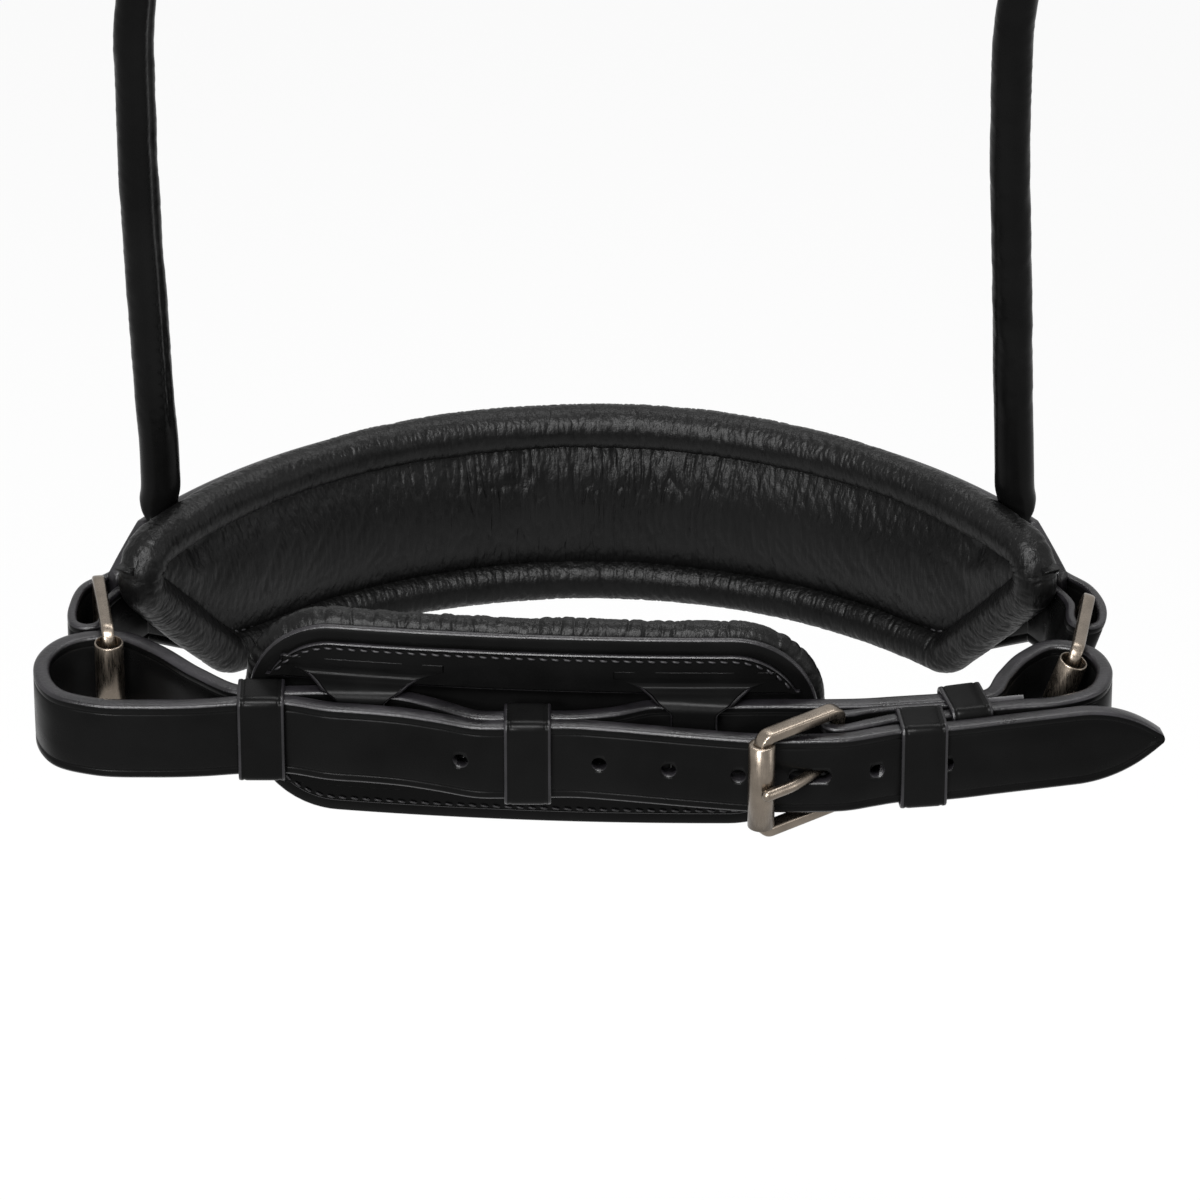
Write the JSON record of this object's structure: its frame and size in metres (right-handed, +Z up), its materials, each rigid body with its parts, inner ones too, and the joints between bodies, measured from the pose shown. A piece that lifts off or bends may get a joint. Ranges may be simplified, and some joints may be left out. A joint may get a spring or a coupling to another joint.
{
  "type": "noseband",
  "caption": "Padded crank noseband of a horse bridle: lined nosepiece, doubled chin strap through square rings, roller buckle and chin pad, on rolled cheeks that join a crown strap with its own buckle",
  "frame": {"origin": "middle of the underside of the crown strap, where it rests on the poll", "axes": "+Z up the head, +Y towards the front of the nose, +X across the head towards the side away from the cheek buckle"},
  "size_m": [0.2668, 0.1485, 0.4643],
  "materials": {
    "bridle_leather": "smooth dyed black bridle leather with painted edges",
    "nappa_leather": "soft black nappa with fine wrinkles",
    "satin_steel": "satin stainless steel, slightly warm",
    "padding_foam": "closed-cell padding foam",
    "filler_cord": "cotton filler cord",
    "reinforcing_web": "woven nylon web"
  },
  "bodies": {
    "head_strap": {"left_cheek_roll": "bridle_leather", "right_cheek_roll": "bridle_leather", "left_cheek_cord": "filler_cord", "right_cheek_cord": "filler_cord", "crown_strap": "bridle_leather", "cheek_chape": "bridle_leather", "crown_keeper_fixed": "bridle_leather"},
    "noseband": {"nose_strap": "bridle_leather", "nose_web": "reinforcing_web", "nose_foam": "padding_foam", "nose_lining": "nappa_leather", "nose_edge_roll": "nappa_leather", "nose_edge_cord": "filler_cord", "left_ring_tab": "bridle_leather", "right_ring_tab": "bridle_leather", "left_cheek_tab": "bridle_leather", "right_cheek_tab": "bridle_leather", "crank_strap": "bridle_leather", "left_keeper": "bridle_leather", "right_keeper": "bridle_leather", "buckle_keeper": "bridle_leather"},
    "chin_pad": {"chin_backing": "bridle_leather", "chin_overlay": "bridle_leather", "chin_foam": "padding_foam", "chin_lining": "nappa_leather", "chin_edge_roll": "nappa_leather", "chin_edge_cord": "filler_cord"},
    "middle_keeper": {"middle_keeper": "bridle_leather"},
    "left_square": {"left_square": "satin_steel"},
    "left_tube": {"left_tube": "satin_steel"},
    "right_square": {"right_square": "satin_steel"},
    "right_tube": {"right_tube": "satin_steel"},
    "crank_buckle": {"crank_buckle_frame": "satin_steel"},
    "crank_roller": {"crank_roller": "satin_steel"},
    "crank_tongue": {"crank_tongue": "satin_steel"},
    "crown_buckle": {"crown_buckle_frame": "satin_steel"},
    "crown_tongue": {"crown_tongue": "satin_steel"},
    "crown_keeper_sliding": {"crown_keeper_sliding": "bridle_leather"}
  },
  "joints": [
    {"name": "noseband_swing", "type": "hinge", "parent": "head_strap", "child": "noseband", "pos_m": [0, 0, -0.406], "axis": [1, 0, 0], "range_deg": [-15, 15], "stiffness_Nm_per_rad": 1.2},
    {"name": "left_square_swing", "type": "hinge", "parent": "noseband", "child": "left_square", "pos_m": [-0.11716, -0.01606, -0.43445], "axis": [0, 0, 1], "range_deg": [-4, 2]},
    {"name": "left_tube_spin", "type": "hinge", "parent": "left_square", "child": "left_tube", "pos_m": [-0.1132, -0.04343, -0.43445], "axis": [0, 0, 1], "continuous": true},
    {"name": "right_square_swing", "type": "hinge", "parent": "noseband", "child": "right_square", "pos_m": [0.11556, -0.02306, -0.43445], "axis": [0.305, -0.0494, 0.9511], "range_deg": [-0.2, 3]},
    {"name": "right_tube_spin", "type": "hinge", "parent": "right_square", "child": "right_tube", "pos_m": [0.11113, -0.05035, -0.43445], "axis": [0.305, -0.0494, 0.9511], "continuous": true},
    {"name": "crank_buckle_tilt", "type": "hinge", "parent": "noseband", "child": "crank_buckle", "pos_m": [0.0584, -0.07606, -0.43445], "axis": [0, 0, 1], "range_deg": [0, 4]},
    {"name": "crank_roller_spin", "type": "hinge", "parent": "crank_buckle", "child": "crank_roller", "pos_m": [0.0404, -0.08905, -0.43445], "axis": [0, 0, 1], "continuous": true},
    {"name": "crank_tongue_lift", "type": "hinge", "parent": "crank_buckle", "child": "crank_tongue", "pos_m": [0.0584, -0.07606, -0.43445], "axis": [0, 0, 1], "range_deg": [0, 2]},
    {"name": "middle_keeper_slide", "type": "slide", "parent": "noseband", "child": "middle_keeper", "axis": [1, 0, 0], "range_m": [-0.005, 0.005]},
    {"name": "chin_pad_slide", "type": "slide", "parent": "noseband", "child": "chin_pad", "axis": [0.9978, -0.0663, 0], "range_m": [-0.003, 0.003]},
    {"name": "crown_buckle_tilt", "type": "hinge", "parent": "head_strap", "child": "crown_buckle", "pos_m": [-0.10227, 0, -0.146], "axis": [0, -1, 0], "range_deg": [0, 3]},
    {"name": "crown_tongue_lift", "type": "hinge", "parent": "crown_buckle", "child": "crown_tongue", "pos_m": [-0.10227, 0, -0.146], "axis": [0, -1, 0], "range_deg": [0, 3]},
    {"name": "crown_keeper_slide", "type": "slide", "parent": "head_strap", "child": "crown_keeper_sliding", "axis": [0, 0, 1], "range_m": [-0.008, 0.01]}
  ]
}
